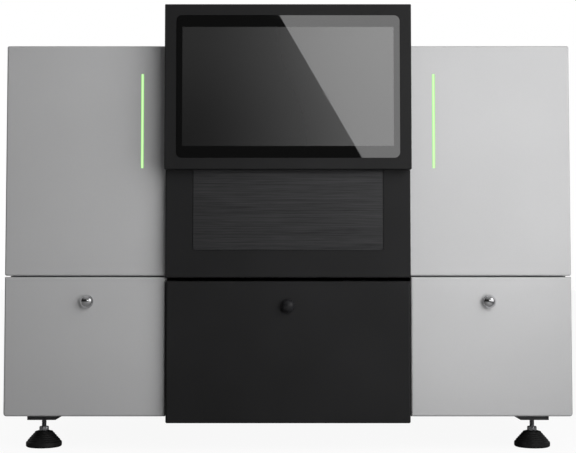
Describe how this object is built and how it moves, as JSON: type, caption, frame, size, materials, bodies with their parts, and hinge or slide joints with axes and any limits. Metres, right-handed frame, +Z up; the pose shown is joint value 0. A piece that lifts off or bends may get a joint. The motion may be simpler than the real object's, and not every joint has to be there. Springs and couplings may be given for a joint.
{
  "type": "benchtop sequencer",
  "caption": "Wide benchtop DNA sequencer on levelling feet: silver covers, black centre column with touch-screen monitor and sliding nest door, drop-down doors over the reagent and waste bays.",
  "frame": {"origin": "on the bench, under the middle of the whole object", "axes": "+X to the viewer's right, +Y to the back, +Z up; the doors and the screen face -Y"},
  "size_m": [0.94, 0.74, 0.7345],
  "materials": {
    "silver": "satin",
    "black_paint": "matte",
    "black_plastic": "matte",
    "brushed_dark": "satin",
    "polished": "polished",
    "black_knob": "satin",
    "screen": "gloss",
    "display": "gloss",
    "light_green": "satin",
    "plated_steel": "satin",
    "frame_steel": "matte",
    "bay_grey": "satin",
    "machined": "satin",
    "anodised_black": "satin",
    "rubber": "matte"
  },
  "bodies": {
    "chassis": {"base_pan": "frame_steel", "column_fascia": "black_paint", "computer_module": "machined", "deck_plate": "frame_steel", "display_panel": "display", "door_catches": "plated_steel", "fan_guards": "plated_steel", "fan_housings": "black_plastic", "foot_brackets": "frame_steel", "frame_posts": "frame_steel", "hinge_brackets": "plated_steel", "hinge_pins": "plated_steel", "left_upper_cover": "silver", "light_bars": "light_green", "monitor_bezel": "black_plastic", "monitor_bracket": "frame_steel", "monitor_rear_shell": "black_plastic", "nest_bay_liner": "bay_grey", "nest_door_tracks": "anodised_black", "optics_module": "anodised_black", "power_inlet": "black_plastic", "power_supply": "machined", "reagent_bay_liners": "bay_grey", "reagent_trays": "machined", "rear_panel": "silver", "right_upper_cover": "silver", "screen_glass": "screen", "side_skirts": "silver", "sipper_guide_rods": "plated_steel", "stage_rails": "plated_steel", "syringe_pumps": "machined", "top_cover": "black_paint", "waste_bay_liner": "bay_grey"},
    "left_door": {"left_door_panel": "silver", "left_door_liner": "bay_grey", "left_door_knob": "polished"},
    "right_door": {"right_door_panel": "silver", "right_door_liner": "bay_grey", "right_door_knob": "polished"},
    "centre_door": {"centre_door_panel": "black_paint", "centre_door_liner": "bay_grey", "centre_door_knob": "black_knob"},
    "nest_door": {"nest_door_plate": "brushed_dark"},
    "stage": {"stage_carriage": "machined", "flow_cell_nests": "anodised_black"},
    "left_lid": {"left_nest_lid": "machined"},
    "right_lid": {"right_nest_lid": "machined"},
    "left_sipper": {"left_sipper_manifold": "machined"},
    "right_sipper": {"right_sipper_manifold": "machined"},
    "left_fan": {"left_fan_rotor": "black_plastic"},
    "right_fan": {"right_fan_rotor": "black_plastic"},
    "rocker": {"power_rocker": "black_knob"},
    "front_left_foot": {"front_left_foot_pad": "rubber", "front_left_foot_stud": "plated_steel"},
    "front_right_foot": {"front_right_foot_pad": "rubber", "front_right_foot_stud": "plated_steel"},
    "rear_left_foot": {"rear_left_foot_pad": "rubber", "rear_left_foot_stud": "plated_steel"},
    "rear_right_foot": {"rear_right_foot_pad": "rubber", "rear_right_foot_stud": "plated_steel"}
  },
  "joints": [
    {"name": "left_door_hinge", "type": "hinge", "parent": "chassis", "child": "left_door", "pos_m": [-0.33675, -0.307, 0.06335], "axis": [1, 0, 0], "range_deg": [0, 90]},
    {"name": "right_door_hinge", "type": "hinge", "parent": "chassis", "child": "right_door", "pos_m": [0.33675, -0.307, 0.06335], "axis": [1, 0, 0], "range_deg": [0, 90]},
    {"name": "centre_door_hinge", "type": "hinge", "parent": "chassis", "child": "centre_door", "pos_m": [0, -0.322, 0.06335], "axis": [1, 0, 0], "range_deg": [0, 90]},
    {"name": "nest_door_slide", "type": "slide", "parent": "chassis", "child": "nest_door", "axis": [0, 0, 1], "range_m": [0, 0.13]},
    {"name": "stage_slide", "type": "slide", "parent": "chassis", "child": "stage", "axis": [0, 1, 0], "range_m": [0, 0.205]},
    {"name": "left_lid_hinge", "type": "hinge", "parent": "stage", "child": "left_lid", "pos_m": [-0.062, -0.22715, 0.3683], "axis": [-1, 0, 0], "range_deg": [0, 75]},
    {"name": "left_sipper_slide", "type": "slide", "parent": "chassis", "child": "left_sipper", "axis": [0, 0, 1], "range_m": [-0.1, 0]},
    {"name": "right_lid_hinge", "type": "hinge", "parent": "stage", "child": "right_lid", "pos_m": [0.062, -0.22715, 0.3683], "axis": [-1, 0, 0], "range_deg": [0, 75]},
    {"name": "right_sipper_slide", "type": "slide", "parent": "chassis", "child": "right_sipper", "axis": [0, 0, 1], "range_m": [-0.1, 0]},
    {"name": "left_fan_spin", "type": "hinge", "parent": "chassis", "child": "left_fan", "pos_m": [-0.29, 0.3505, 0.56], "axis": [0, 1, 0], "continuous": true},
    {"name": "right_fan_spin", "type": "hinge", "parent": "chassis", "child": "right_fan", "pos_m": [0.29, 0.3505, 0.56], "axis": [0, 1, 0], "continuous": true},
    {"name": "rocker_hinge", "type": "hinge", "parent": "chassis", "child": "rocker", "pos_m": [-0.38, 0.3615, 0.165], "axis": [1, 0, 0], "range_deg": [-16, 0]},
    {"name": "front_left_foot_screw", "type": "slide", "parent": "chassis", "child": "front_left_foot", "axis": [0, 0, 1], "range_m": [-0.008, 0.01]},
    {"name": "front_right_foot_screw", "type": "slide", "parent": "chassis", "child": "front_right_foot", "axis": [0, 0, 1], "range_m": [-0.008, 0.01]},
    {"name": "rear_left_foot_screw", "type": "slide", "parent": "chassis", "child": "rear_left_foot", "axis": [0, 0, 1], "range_m": [-0.008, 0.01]},
    {"name": "rear_right_foot_screw", "type": "slide", "parent": "chassis", "child": "rear_right_foot", "axis": [0, 0, 1], "range_m": [-0.008, 0.01]}
  ]
}
